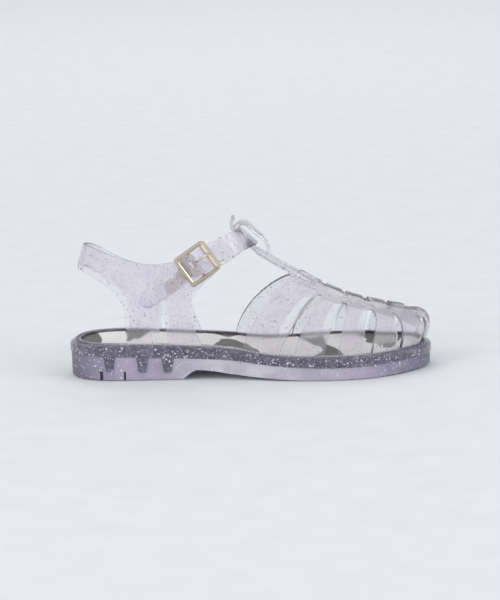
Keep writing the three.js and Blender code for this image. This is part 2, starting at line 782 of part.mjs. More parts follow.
// The two edges of a gap draw together in its last rows, which rounds its upper corners
function roundGapEnd(points, first, second) {
  const pulls = [[GAP_END_ROW - 1, GAP_CORNER * 0.3], [GAP_END_ROW, GAP_CORNER]];
  pulls.forEach(([row, pull]) => {
    const left = points[first + row].clone();
    const right = points[second + row].clone();
    points[first + row].lerp(right, pull);
    points[second + row].lerp(left, pull);
  });
}

function spinePads() {
  const rows = RIB_ROWS.slice(PAD_FIRST_ROW);
  return STRAPS.map((strap) => {
    const shares = [PAD_END_SHARE, 0.35, 0.65, 1 - PAD_END_SHARE];
    const points = [];
    const faces = [];
    [LATERAL, MEDIAL].forEach((side) => {
      const ordered = side === LATERAL ? shares : [...shares].reverse();
      ordered.forEach((share, k) => {
        const rib = strapRib(strap, side, share);
        rows.forEach((row, level) => {
          if (k > 0 && level > 0) {
            const here = points.length;
            faces.push([here - rows.length - 1, here - 1, here, here - rows.length]);
          }
          points.push(ribPoint(rib, row));
        });
      });
    });
    return thickSheet(points, faces, PAD_RAISE, PAD_RAISE + PAD_SINK);
  });
}

// Bands carried along stations
function bandRing(station, tangent, thickness) {
  const across = station.across.clone().addScaledVector(tangent, -station.across.dot(tangent)).normalize();
  const out = tangent.clone().cross(across).normalize();
  const half = station.width / 2;
  const deep = thickness / 2;
  const corners = [
    [half, EDGE_ROUND - deep], [half, deep - EDGE_ROUND], [half - EDGE_ROUND, deep], [EDGE_ROUND - half, deep],
    [-half, deep - EDGE_ROUND], [-half, EDGE_ROUND - deep], [EDGE_ROUND - half, -deep], [half - EDGE_ROUND, -deep],
  ];
  return corners.map(([sideways, upward]) => station.place.clone()
    .addScaledVector(across, sideways)
    .addScaledVector(out, upward));
}

function bandAlong(stations, thickness, steps) {
  const path = new THREE.CatmullRomCurve3(stations.map((station) => station.place), false, 'centripetal');
  const rings = [];
  for (let k = 0; k <= steps; k += 1) {
    const share = k / steps;
    const reach = share * (stations.length - 1);
    const row = Math.min(Math.floor(reach), stations.length - 2);
    const part = reach - row;
    const station = {
      place: path.getPoint(share),
      across: stations[row].across.clone().lerp(stations[row + 1].across, part),
      width: THREE.MathUtils.lerp(stations[row].width, stations[row + 1].width, part),
    };
    rings.push(bandRing(station, path.getTangent(share), thickness));
  }
  return loft(rings, fanCap);
}

function middleStations(rows, width, endScale) {
  const y = readTable(SPINE, 'across', SPINE[0].at) * BALL_WIDTH;
  return rows.map((row, k) => ({
    place: new THREE.Vector3(row.x * SOLE_LENGTH, y, row.z * INSTEP_HEIGHT),
    across: new THREE.Vector3(0, 1, 0),
    width: width * (k === rows.length - 1 ? endScale : 1),
  }));
}

function tBar() {
  return bandAlong(middleStations(T_BAR, T_BAR_WIDTH, 1), T_BAR_THICKNESS, 8);
}

function strapLoop() {
  const inner = bandAlong(middleStations(LOOP_INNER, LOOP_WIDTH, TAB_FLARE), LOOP_WALL, 8);
  const outer = bandAlong(middleStations(LOOP_OUTER, LOOP_WIDTH, 1), LOOP_WALL, 12);
  return inner.add(outer);
}

// Buckle directions: along the strap, across it, and out from the quarter's face
function quarterFace() {
  return -ANKLE_WIDTH / 2;
}

function buckleDirections() {
  const slope = BUCKLE_SLOPE * DEGREE;
  return {
    along: new THREE.Vector3(Math.cos(slope), 0, Math.sin(slope)),
    across: new THREE.Vector3(-Math.sin(slope), 0, Math.cos(slope)),
    out: new THREE.Vector3(0, -1, 0),
  };
}

function bucklePoint(along, across, out) {
  const directions = buckleDirections();
  return new THREE.Vector3(BUCKLE_PLACE.x * SOLE_LENGTH, quarterFace(), BUCKLE_PLACE.z * BACK_TOP_HEIGHT)
    .addScaledVector(directions.along, along)
    .addScaledVector(directions.across, across)
    .addScaledVector(directions.out, out);
}

// Turns a geometry drawn with X along, Y across and Z out into place at the buckle
function atBuckle(geometry, along, across, out) {
  const directions = buckleDirections();
  const place = bucklePoint(along, across, out);
  geometry.applyMatrix4(new THREE.Matrix4().makeBasis(directions.along, directions.across, directions.out));
  geometry.translate(place.x, place.y, place.z);
  return geometry;
}

function ankleStrap() {
  const route = STRAP_ROUTE.map((row) => {
    const height = THREE.MathUtils.lerp(BACK_TOP_HEIGHT, LOOP_RISE * INSTEP_HEIGHT, row.loop);
    return {
      place: new THREE.Vector3(row.x * SOLE_LENGTH, row.y * ANKLE_WIDTH / 2, row.z * height),
      across: new THREE.Vector3(-Math.sin(row.lean * DEGREE), 0, Math.cos(row.lean * DEGREE)),
      width: row.width * STRAP_WIDTH,
    };
  });
  const end = STRAP_END.map((row) => ({
    place: bucklePoint(row.along * BUCKLE_SIZE, row.across * BUCKLE_SIZE, row.out * BUCKLE_SIZE),
    across: buckleDirections().across,
    width: row.width * STRAP_WIDTH,
  }));
  return bandAlong([...route, ...end], STRAP_THICKNESS, 48);
}

// Heel and quarter shell, then its side view outline
function shellPoint(side, share, level) {
  const z = level * BACK_TOP_HEIGHT;
  const back = readTable(SHELL_BACK, 'back', level);
  const front = SHELL_FRONT * SOLE_LENGTH;
  const x = back + share * (front - back);
  const reach = SHELL_ROUND_REACH * SOLE_LENGTH;
  const rest = Math.max(1 - share * (front - back) / reach, 0);
  const rounding = (1 - rest ** SHELL_ROUNDNESS) ** (1 / SHELL_ROUNDNESS);
  const planY = Math.abs(insetPoint(side, turnAt(x / SOLE_LENGTH), footInset()).y);
  const blend = smoothStep(0.2, 0.62, level);
  const width = THREE.MathUtils.lerp(planY, ANKLE_WIDTH / 2, blend);
  return new THREE.Vector3(x, side * width * rounding, z);
}

function heelShell() {
  const rows = SHELL_LEVELS.length;
  const shares = Array.from({ length: SHELL_STEPS + 1 }, (unused, k) => 1 - Math.cos(k / SHELL_STEPS * Math.PI / 2));
  const lateral = [...shares].reverse().map((share) => ({ side: LATERAL, share }));
  const medial = shares.slice(1).map((share) => ({ side: MEDIAL, share }));
  const columns = [...lateral, ...medial];
  const points = columns.flatMap((column) => SHELL_LEVELS.map((level) => (
    shellPoint(column.side, column.share, level)
  )));
  const faces = [];
  for (let k = 0; k < columns.length - 1; k += 1) {
    for (let row = 0; row < rows - 1; row += 1) {
      const here = k * rows + row;
      faces.push([here + rows, here, here + 1, here + rows + 1]);
    }
  }
  return thickSheet(points, faces, 0, UPPER_WALL);
}

function quarterOutline(side) {
  return QUARTER.map(([along, height]) => {
    const x = along * SOLE_LENGTH;
    const z = height === 0 ? landHeight(x) - FOOT_DEPTH : height * BACK_TOP_HEIGHT;
    const past = THREE.MathUtils.clamp((along - DROP_START) / (DROP_END - DROP_START), 0, 1);
    const share = past * (2 - past) * smoothStep(0.45, 0.8, height);
    return [x, side === MEDIAL ? z - MEDIAL_DROP * share : z];
  });
}

function heelSide(side) {
  const overlap = side * UPPER_WALL / 5;
  const reach = side * BALL_WIDTH;
  return throughWidth(quarterOutline(side), Math.min(reach, -overlap), Math.max(reach, -overlap));
}

function quarters() {
  const shell = heelShell();
  const slot = throughWidth(SLOT.map(([along, height]) => [along * SOLE_LENGTH, height * BACK_TOP_HEIGHT]),
    -BALL_WIDTH, BALL_WIDTH);
  return shell.intersect(heelSide(LATERAL)).add(shell.intersect(heelSide(MEDIAL))).subtract(slot);
}

function pinHole(along, across, radius) {
  const pin = new THREE.CylinderGeometry(radius, radius, ANKLE_WIDTH / 2, 12);
  pin.rotateX(Math.PI / 2);
  return solidOf(atBuckle(pin, along, across, 0));
}

function strapHoles() {
  const slot = new THREE.BoxGeometry(PRONG_SLOT.length * BUCKLE_SIZE, (PRONG_RADIUS + FIT_GAP) * 2, BUCKLE_SIZE / 3);
  const prongHole = solidOf(atBuckle(slot, PRONG_SLOT.along * BUCKLE_SIZE, PRONG_ACROSS, BUCKLE_LIFT));
  const free = STRAP_HOLE_PLACE;
  return [prongHole, pinHole(free.along * BUCKLE_SIZE, free.across * BUCKLE_SIZE, STRAP_HOLE / 2)];
}

function rivetHole() {
  return pinHole(RIVET_ALONG, RIVET_ACROSS, RIVET_SHANK_RADIUS + FIT_GAP);
}

function upper() {
  const heel = cutAll(quarters(), [rivetHole().intersect(heelSide(LATERAL))]);
  const strap = cutAll(ankleStrap(), strapHoles());
  const body = joinAll([cage(), ...spinePads(), tBar(), strapLoop(), heel, strap]);
  return body.add(baseRim());
}

// Buckle
function roundedSquare(shape, half, corner) {
  shape.moveTo(-half + corner, -half);
  shape.lineTo(half - corner, -half);
  shape.absarc(half - corner, -half + corner, corner, -Math.PI / 2, 0, false);
  shape.lineTo(half, half - corner);
  shape.absarc(half - corner, half - corner, corner, 0, Math.PI / 2, false);
  shape.lineTo(-half + corner, half);
  shape.absarc(-half + corner, half - corner, corner, Math.PI / 2, Math.PI, false);
  shape.lineTo(-half, -half + corner);
  shape.absarc(-half + corner, -half + corner, corner, Math.PI, Math.PI * 1.5, false);
  return shape;
}

function rollerAlong() {
  return BUCKLE_SIZE / 2 + FRONT_BAR_REACH - FRONT_BAR - FIT_GAP - ROLLER_RADIUS;
}

function insideHalf() {
  return BUCKLE_SIZE / 2 - BUCKLE_BAR;
}

// Rod through places given along, across and out
function rod(places, radius, steps) {
  const points = places.map((place) => bucklePoint(place.along, place.across, place.out));
  const path = new THREE.CatmullRomCurve3(points);
  const section = new THREE.Shape().absarc(0, 0, radius, 0, Math.PI * 2, false);
  return solidOf(new THREE.ExtrudeGeometry(section, { extrudePath: path, steps, curveSegments: 4, bevelEnabled: false }));
}

function bevelledPlate(shape, thickness) {
  const plate = new THREE.ExtrudeGeometry(shape, {
    depth: thickness - 2 * BUCKLE_BEVEL,
    bevelThickness: BUCKLE_BEVEL,
    bevelSize: BUCKLE_BEVEL,
    bevelSegments: 1,
    curveSegments: 3,
  });
  plate.translate(0, 0, BUCKLE_BEVEL - thickness / 2);
  return plate;
}

function buckleFrame() {
  const outer = roundedSquare(new THREE.Shape(), BUCKLE_SIZE / 2 - BUCKLE_BEVEL, BUCKLE_CORNER);
  outer.holes.push(roundedSquare(new THREE.Path(), insideHalf() + BUCKLE_BEVEL, BUCKLE_CORNER));
  const ring = solidOf(atBuckle(bevelledPlate(outer, BUCKLE_THICKNESS), 0, 0, BUCKLE_LIFT));
  const frontStart = BUCKLE_SIZE / 2 + FRONT_BAR_REACH - FRONT_BAR;
  const room = new THREE.BoxGeometry(frontStart, insideHalf() * 2, BUCKLE_THICKNESS * 2);
  const opened = ring.subtract(solidOf(atBuckle(room, frontStart / 2, 0, BUCKLE_LIFT)));
  const front = new THREE.BoxGeometry(FRONT_BAR, (insideHalf() + BUCKLE_BAR / 2) * 2, FRONT_BAR);
  const frontBar = solidOf(atBuckle(front, frontStart + FRONT_BAR / 2, 0, BUCKLE_LIFT));
  const axleRadius = ROLLER_RADIUS - ROLLER_WALL - FIT_GAP;
  const axle = new THREE.CylinderGeometry(axleRadius, axleRadius, insideHalf() * 2 + BUCKLE_BEVEL * 2, 10);
  const rollerAxle = solidOf(atBuckle(axle, rollerAlong(), 0, BUCKLE_LIFT));
  const centreBar = rod(CENTRE_BAR.map((row) => ({
    along: CENTRE_BAR_ALONG,
    across: row.across * BUCKLE_SIZE,
    out: THREE.MathUtils.lerp(CENTRE_BAR_LIFT, BUCKLE_LIFT, row.lift),
  })), CENTRE_BAR_RADIUS, 14);
  return joinAll([opened, frontBar, rollerAxle, centreBar]);
}

// Tube round an axle that lies across the buckle
function tube(inner, outer, fromAcross, toAcross) {
  const profile = [[inner, fromAcross], [outer, fromAcross], [outer, toAcross], [inner, toAcross], [inner, fromAcross]];
  return new THREE.LatheGeometry(profile.map(([radius, y]) => new THREE.Vector2(radius, y)), 16);
}

function buckleRoller(side) {
  const innerEnd = PRONG_ACROSS + side * ROLLER_GAP / 2;
  const outerEnd = side * (insideHalf() - FIT_GAP);
  const geometry = tube(
    ROLLER_RADIUS - ROLLER_WALL, ROLLER_RADIUS, Math.min(innerEnd, outerEnd), Math.max(innerEnd, outerEnd));
  return solidOf(atBuckle(geometry, rollerAlong(), 0, BUCKLE_LIFT));
}

function buckleProng() {
  const inner = CENTRE_BAR_RADIUS + FIT_GAP;
  const collar = tube(inner, inner + COLLAR_WALL, PRONG_ACROSS - COLLAR_LENGTH / 2, PRONG_ACROSS + COLLAR_LENGTH / 2);
  const tongue = rod(PRONG_ROUTE.map((row) => ({
    along: row.along * BUCKLE_SIZE,
    across: PRONG_ACROSS,
    out: row.out * BUCKLE_SIZE,
  })), PRONG_RADIUS, 14);
  return solidOf(atBuckle(collar, CENTRE_BAR_ALONG, 0, CENTRE_BAR_LIFT)).add(tongue);
}

function chapeStation(along, across, out, widening) {
  return {
    place: bucklePoint(along, across, out),
    across: buckleDirections().across,
    width: THREE.MathUtils.lerp(CHAPE_WIDTH, CHAPE_LOOP_WIDTH, widening),
  };
}

// The chape runs flat from its rivet disc, turns round the centre bar and comes back on itself
function buckleChape() {
  const flat = FIT_GAP + CHAPE_THICKNESS / 2;
  const bend = CENTRE_BAR_RADIUS + FIT_GAP + CHAPE_THICKNESS / 2;
  const run = CHAPE_RUN.map((row) => (
    chapeStation(row.along * BUCKLE_SIZE, row.across * BUCKLE_SIZE, flat, row.widening)
  ));
  const arc = Array.from({ length: CHAPE_ARC.steps + 1 }, (unused, k) => {
    const angle = THREE.MathUtils.lerp(CHAPE_ARC.from, CHAPE_ARC.to, k / CHAPE_ARC.steps) * DEGREE;
    const along = CENTRE_BAR_ALONG + bend * Math.cos(angle);
    return chapeStation(along, CHAPE_LOOP_ACROSS, CENTRE_BAR_LIFT + bend * Math.sin(angle), 1);
  });
  const back = CHAPE_RETURN.map((row) => (
    chapeStation(row.along * BUCKLE_SIZE, CHAPE_LOOP_ACROSS, row.out * BUCKLE_SIZE, 1)
  ));
  const lower = bandAlong([...run, arc[0]], CHAPE_THICKNESS, 14);
  const loop = bandAlong([...arc, ...back], CHAPE_THICKNESS, 14);
  const disc = new THREE.CylinderGeometry(CHAPE_DISC_RADIUS, CHAPE_DISC_RADIUS, CHAPE_THICKNESS, 28);
  disc.rotateX(Math.PI / 2);
  const eye = solidOf(atBuckle(disc, RIVET_ALONG, RIVET_ACROSS, flat));
  const slotFrom = CHAPE_RETURN[1].along * BUCKLE_SIZE;
  const slotTo = CENTRE_BAR_ALONG + bend + CHAPE_THICKNESS;
  const slot = new THREE.BoxGeometry(slotTo - slotFrom, COLLAR_LENGTH + 2 * FIT_GAP, BUCKLE_SIZE);
  const collarRoom = solidOf(atBuckle(slot, (slotFrom + slotTo) / 2, PRONG_ACROSS, CENTRE_BAR_LIFT));
  return cutAll(joinAll([lower, loop, eye]), [collarRoom, rivetHole()]);
}

function buckleRivet() {
  const under = -UPPER_WALL - FIT_GAP;
  const over = CHAPE_THICKNESS + 2 * FIT_GAP;
  const top = over + RIVET_HEAD_THICKNESS;
  const dish = RIVET_HEAD_RADIUS - RIVET_RING;
  const profile = [
    [0, under - RIVET_HEAD_THICKNESS], [RIVET_BACK_RADIUS, under - RIVET_HEAD_THICKNESS], [RIVET_BACK_RADIUS, under],
    [RIVET_SHANK_RADIUS, under], [RIVET_SHANK_RADIUS, over], [RIVET_HEAD_RADIUS, over],
    [RIVET_HEAD_RADIUS, top - RIVET_EDGE], [RIVET_HEAD_RADIUS - RIVET_EDGE, top], [dish, top],
    [dish - RIVET_EDGE, top - RIVET_EDGE], [0, top - RIVET_EDGE],
  ];
  const body = new THREE.LatheGeometry(profile.map(([radius, y]) => new THREE.Vector2(radius, y)), 20);
  body.rotateX(Math.PI / 2);
  return solidOf(atBuckle(body, RIVET_ALONG, RIVET_ACROSS, 0));
}

// Finishes seen on the shoe
const clearVinyl = new THREE.MeshStandardMaterial({ color: 0xd9d4e6, roughness: 0.18, metalness: 0 });
const darkVinyl = new THREE.MeshStandardMaterial({ color: 0x8f88a6, roughness: 0.22, metalness: 0 });
const printedSheet = new THREE.MeshStandardMaterial({ color: 0xe0dcd4, roughness: 0.5, metalness: 0 });
const paleGold = new THREE.MeshStandardMaterial({ color: 0xc9b78f, roughness: 0.2, metalness: 1 });
const pearlVinyl = new THREE.MeshStandardMaterial({ color: 0xe9dfdc, roughness: 0.25, metalness: 0 });

function named(name, solid, material) {
  const mesh = new THREE.Mesh(geometryOf(solid), material);
  mesh.name = name;
  return mesh;
}

const shoe = new THREE.Group();
shoe.add(named('outsole', outsole(), darkVinyl));
shoe.add(named('insole', insole(), printedSheet));
shoe.add(named('upper', upper(), clearVinyl));
shoe.add(named('buckle_frame', buckleFrame(), paleGold));
shoe.add(named('buckle_roller_upper', buckleRoller(1), paleGold));
shoe.add(named('buckle_roller_lower', buckleRoller(-1), paleGold));
shoe.add(named('buckle_prong', buckleProng(), paleGold));
shoe.add(named('buckle_chape', buckleChape(), pearlVinyl));
shoe.add(named('buckle_rivet', buckleRivet(), pearlVinyl));

// The origin is on the ground, in the middle of the shoe's box
const extent = new THREE.Box3().setFromObject(shoe, true);
const middle = extent.getCenter(new THREE.Vector3());
shoe.position.set(-middle.x, -middle.y, -extent.min.z);

export default shoe;
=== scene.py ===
import math
import random

import bpy
from mathutils import Matrix, Vector


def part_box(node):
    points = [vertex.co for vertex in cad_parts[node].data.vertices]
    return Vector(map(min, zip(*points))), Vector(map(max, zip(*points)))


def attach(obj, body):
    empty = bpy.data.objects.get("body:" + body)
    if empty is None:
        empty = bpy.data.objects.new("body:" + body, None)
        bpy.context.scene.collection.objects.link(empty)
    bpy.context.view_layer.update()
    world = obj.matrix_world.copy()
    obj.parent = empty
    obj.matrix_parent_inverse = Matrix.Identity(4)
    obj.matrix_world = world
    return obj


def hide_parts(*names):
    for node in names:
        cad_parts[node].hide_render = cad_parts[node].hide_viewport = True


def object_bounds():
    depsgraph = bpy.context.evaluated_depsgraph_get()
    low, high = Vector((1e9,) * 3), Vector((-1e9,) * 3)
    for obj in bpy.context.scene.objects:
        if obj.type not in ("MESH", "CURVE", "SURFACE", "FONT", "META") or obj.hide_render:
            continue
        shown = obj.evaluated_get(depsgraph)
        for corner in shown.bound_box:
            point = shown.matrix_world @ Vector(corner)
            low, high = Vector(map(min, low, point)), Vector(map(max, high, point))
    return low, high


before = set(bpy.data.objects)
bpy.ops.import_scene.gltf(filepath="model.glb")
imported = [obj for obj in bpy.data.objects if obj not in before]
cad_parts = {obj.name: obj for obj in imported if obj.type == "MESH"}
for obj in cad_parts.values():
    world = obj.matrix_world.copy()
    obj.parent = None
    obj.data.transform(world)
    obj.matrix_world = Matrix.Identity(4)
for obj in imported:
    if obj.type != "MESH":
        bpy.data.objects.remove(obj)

CAD_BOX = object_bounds()
MM = 0.001

bl_info = {
    "name": "Jelly sandal",
    "version": (1, 0, 0),
    "blender": (4, 5, 0),
    "location": "View3D > Sidebar > Sandal",
    "description": "Glitter jelly sandal with printed insole and pale gold buckle",
    "category": "Object",
}

# Sole lip and dark band, as shares of the sole's length and of the two heights below
LIP_HEIGHT = 23.6 * MM
BAND_HEIGHT = 7.2 * MM
LIP = [
    {"at": 0.0, "lip": 0.97, "band": 0.85},
    {"at": 0.06, "lip": 1.0, "band": 0.9},
    {"at": 0.16, "lip": 0.998, "band": 0.96},
    {"at": 0.3, "lip": 0.95, "band": 1.0},
    {"at": 0.4, "lip": 0.9, "band": 0.97},
    {"at": 0.46, "lip": 0.84, "band": 0.9},
    {"at": 0.52, "lip": 0.72, "band": 0.8},
    {"at": 0.58, "lip": 0.66, "band": 0.78},
    {"at": 0.68, "lip": 0.64, "band": 0.84},
    {"at": 0.8, "lip": 0.635, "band": 0.84},
    {"at": 0.9, "lip": 0.64, "band": 0.8},
    {"at": 1.0, "lip": 0.64, "band": 0.75},
]
TOOTH_PLACES = (0.112, 0.202, 0.271)
TOOTH_REACH = 10.2 * MM
TOOTH_HALF_TOP = 4.2 * MM
TOOTH_HALF_TIP = 2.7 * MM

# Woven grain of the raised pads: thread pitch, drawn a little coarse so that it shows, and the pads' place.
# A wave texture of scale one repeats every twentieth of a full turn, in metres
PAD_THREAD = 1.3 * MM
WAVE_TURN = math.tau / 20
PAD_HALF_WIDTH = 8.5 * MM
PAD_FROM = 26 * MM

# Seam between the sole's land and the upper's rim, measured from the insole's top edge
SEAM_OUTWARD = 3.75 * MM
SEAM_ABOVE_INSOLE = 1.3 * MM

# Edges sharper than these degrees stay crisp on each copied solid, whose doubled corners merge within a reach
CRISP_SOLE = 32
CRISP_UPPER = 38
CRISP_FRAME = 30
CRISP_ROLLER = 50
CRISP_CHAPE = 40
MERGE_REACH = 0.002 * MM

# A face whose normal rises less than this belongs to a side, and the band starts a little above its line
SIDE_RISE = 0.5
FLAKE_RISE = 0.8
BAND_MARGIN = 0.15 * MM

# Corners of the insole nearer than this are the two ends of its rounded edge
RIM_CORNER_REACH = 0.9 * MM

# One grain of the milled bead: its length, width and height as shares of the ball it starts from
GRAIN_SHAPE = (0.95, 1.0, 0.8, 1.0)

# Glitter flakes: waist of the star, tilt in radians, sizes as shares of the largest, depth under the skin
STAR_POINTS = 5
STAR_WAIST = 0.48
FLAKE_TILT = 0.22
FLAKE_SIZES = (0.45, 0.6, 0.8, 1.0)
FLAKE_SINK = {"sole": 0.02 * MM, "upper": 0.5 * MM}
FLAKE_SEED = {"band": 11, "side": 13, "upper": 17}
FLAKE_FLOOR = {"band": 1.5 * MM, "side": 3 * MM}
SIDE_FLAKE_SHARE = 4

# Buckle face: how near the front plane a face lies, how square to it, and the run of the groove's wall
FRONT_REACH = 0.05 * MM
FRONT_SQUARE = 0.99
GROOVE_WALL = 0.12 * MM

# The photographer's view: straight at the outer side, a little from above, toe side raised
VIEW_DISTANCE = 1.8
VIEW_ELEVATION = math.radians(11.5)
VIEW_ROLL = math.radians(1.4)
VIEW_TARGET = Vector((0.0, 0.0, 0.0485))
VIEW_LENS = 156.6
SENSOR = 36.0

# Paper sweep in metres: flat floor, a quarter turn and a wall
SWEEP_WIDTH = 8.0
SWEEP_BACK = 3.6
SWEEP_RADIUS = 1.6
SWEEP_STEPS = 16


class SandalSizes(bpy.types.PropertyGroup):
    """Sizes of the finer pieces that the scene adds"""

    bead_pitch: bpy.props.FloatProperty(
        name="Bead pitch", description="Distance between two grains of the milled bead",
        default=1.85 * MM, min=0.5 * MM, subtype="DISTANCE", unit="LENGTH")
    bead_radius: bpy.props.FloatProperty(
        name="Bead radius", description="Radius of one grain of the milled bead",
        default=0.72 * MM, min=0.2 * MM, subtype="DISTANCE", unit="LENGTH")
    flake_radius: bpy.props.FloatProperty(
        name="Flake radius", description="Radius of the largest star flake",
        default=1.05 * MM, min=0.2 * MM, subtype="DISTANCE", unit="LENGTH")
    flake_thickness: bpy.props.FloatProperty(
        name="Flake thickness", description="Thickness of a glitter flake",
        default=0.06 * MM, min=0.02 * MM, subtype="DISTANCE", unit="LENGTH")
    sole_flakes: bpy.props.IntProperty(
        name="Sole flakes", description="Number of star flakes in the sole", default=420, min=0)
    upper_flakes: bpy.props.IntProperty(
        name="Upper flakes", description="Number of star flakes in the upper", default=170, min=0)
    groove_lip: bpy.props.FloatProperty(
        name="Buckle groove lip", description="Width of the ridge on each side of the buckle's groove",
        default=0.42 * MM, min=0.1 * MM, subtype="DISTANCE", unit="LENGTH")
    groove_depth: bpy.props.FloatProperty(
        name="Buckle groove depth", description="Depth of the groove on the buckle's face",
        default=0.7 * MM, min=0.05 * MM, subtype="DISTANCE", unit="LENGTH")


def colour_property(label, text, value):
    """A colour that the user can change, given as sRGB hex."""
    return bpy.props.FloatVectorProperty(
        name=label, description=text, subtype="COLOR", size=4, min=0.0, max=1.0, default=linear(value))


def linear(value):
    """sRGB hex to linear red, green, blue and an alpha of one."""
    channels = [int(value[k:k + 2], 16) / 255 for k in (1, 3, 5)]
    turned = [c / 12.92 if c <= 0.04045 else ((c + 0.055) / 1.055) ** 2.4 for c in channels]
    return (*turned, 1.0)


class SandalColours(bpy.types.PropertyGroup):
    """Colours of the shoe and of the studio"""

    clear: colour_property("Clear vinyl", "Tint of the clear upper", "#fefdff")
    band: colour_property("Dark band", "Depth of the glitter vinyl at the sole's top band", "#565265")
    frosted: colour_property("Frosted side", "Frosted lower side of the sole", "#e0dde5")
    frosted_deep: colour_property("Frosted side, deep", "Where the frosted side shows its depth", "#bfbbc7")
    silver: colour_property("Glitter", "Silver glitter", "#eceaf2")
    cream: colour_property("Insole ground", "Ground of the printed insole", "#f6f3f0")
    olive: colour_property("Insole strokes", "Brush strokes of the insole print", "#625e52")
    gold: colour_property("Pale gold", "Plating of the buckle", "#d2c8b3")
    pearl: colour_property("Pearl vinyl", "Chape and rivet", "#fdf6f3")
    backdrop: colour_property("Backdrop", "Paper sweep of the studio", "#f1f2f5")


def sizes():
    return bpy.context.scene.sandal_sizes


def colours():
    return bpy.context.scene.sandal_colours


# Mesh helpers
def select_only(*objects):
    bpy.ops.object.select_all(action="DESELECT")
    for item in objects:
        item.select_set(True)
    bpy.context.view_layer.objects.active = objects[0]


def finish_piece(piece, name, material=None):
    """Names a piece, gives it its material and lets it ride on the shoe."""
    piece.name = name
    piece.data.name = name
    if material is not None:
        piece.data.materials.clear()
        piece.data.materials.append(material)
    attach(piece, "root")
    return piece


def merged_copy(node, angle):
    """A copy of a solid with its doubled corners merged and smooth below the given edge angle."""
    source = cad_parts[node]
    piece = bpy.data.objects.new(node + "_copy", source.data.copy())
    bpy.context.scene.collection.objects.link(piece)
    select_only(piece)
    bpy.ops.mesh.customdata_custom_splitnormals_clear()
    bpy.ops.object.mode_set(mode="EDIT")
    bpy.ops.mesh.select_all(action="SELECT")
    bpy.ops.mesh.remove_doubles(threshold=MERGE_REACH)
    bpy.ops.object.mode_set(mode="OBJECT")
    bpy.ops.object.shade_smooth_by_angle(angle=math.radians(angle))
    return piece


def join_copies(pattern, places, name):
    """Copies one modelled shape to many places, each copy with its own mesh, and joins them."""
    copies = []
    for place in places:
        mesh = pattern.data.copy()
        mesh.transform(place)
        item = bpy.data.objects.new(name, mesh)
        bpy.context.scene.collection.objects.link(item)
        copies.append(item)
    bpy.data.objects.remove(pattern)
    select_only(*copies)
    bpy.ops.object.join()
    return bpy.context.view_layer.objects.active


def read_lip(column, share):
    """Straight-line reading of the lip table."""
    held = min(max(share, 0.0), 1.0)
    for low, high in zip(LIP, LIP[1:]):
        if held <= high["at"]:
            part = (held - low["at"]) / (high["at"] - low["at"])
            return low[column] + part * (high[column] - low[column])
    return LIP[-1][column]


def length_share(x):
    low, high = CAD_BOX
    return (x - low.x) / (high.x - low.x)


def band_foot(x):
    share = length_share(x)
    return LIP_HEIGHT * read_lip("lip", share) - BAND_HEIGHT * read_lip("band", share)


def in_tooth(centre):
    """True on the outer face of one of the dark teeth that hang from the band."""
    low, high = CAD_BOX
    top = band_foot(centre.x)
    down = (top - centre.z) / TOOTH_REACH
    if not 0 <= down <= 1:
        return False
    reach = TOOTH_HALF_TOP + (TOOTH_HALF_TIP - TOOTH_HALF_TOP) * down
    return any(abs(centre.x - (low.x + place * (high.x - low.x))) < reach for place in TOOTH_PLACES)


# Materials
def new_material(name):
    material = bpy.data.materials.new(name)
    material.use_nodes = True
    tree = material.node_tree
    tree.nodes.clear()
    return material, tree


def set_stops(band, stops):
    """Gives a colour ramp its (place, colour) stops."""
    while len(band.elements) < len(stops):
        band.elements.new(0.5)
    for element, (place, colour) in zip(band.elements, stops):
        element.position = place
        element.color = colour


def add_node(tree, kind, settings=None, **links):
    """Adds one node. Settings are its properties, input values or ramp stops, and links feed its inputs."""
    node = tree.nodes.new("ShaderNode" + kind)
    for key, value in (settings or {}).items():
        if key == "stops":
            set_stops(node.color_ramp, value)
        elif isinstance(key, int) or key in node.inputs:
            node.inputs[key].default_value = value
        else:
            setattr(node, key, value)
    for key, socket in links.items():
        place = int(key[1:]) if key[0] == "i" and key[1:].isdigit() else key.replace("_", " ")
        tree.links.new(socket, node.inputs[place])
    return node


def grey(value):
    return (value, value, value, 1.0)


def glitter_mask(tree, place, spacing, share, size):
    """White where a glitter speck lies: cells of the given spacing in metres, a share of which hold one."""
    cells = add_node(
        tree, "TexVoronoi", {"feature": "F1", "Scale": 1 / spacing, "Randomness": 1.0}, Vector=place)
    near = add_node(tree, "Math", {"operation": "LESS_THAN", 1: size}, i0=cells.outputs["Distance"])
    parts = add_node(tree, "SeparateColor", None, Color=cells.outputs["Color"])
    chosen = add_node(tree, "Math", {"operation": "LESS_THAN", 1: share}, i0=parts.outputs["Red"])
    both = add_node(tree, "Math", {"operation": "MULTIPLY"}, i0=near.outputs[0], i1=chosen.outputs[0])
    return both.outputs[0], parts.outputs["Green"]


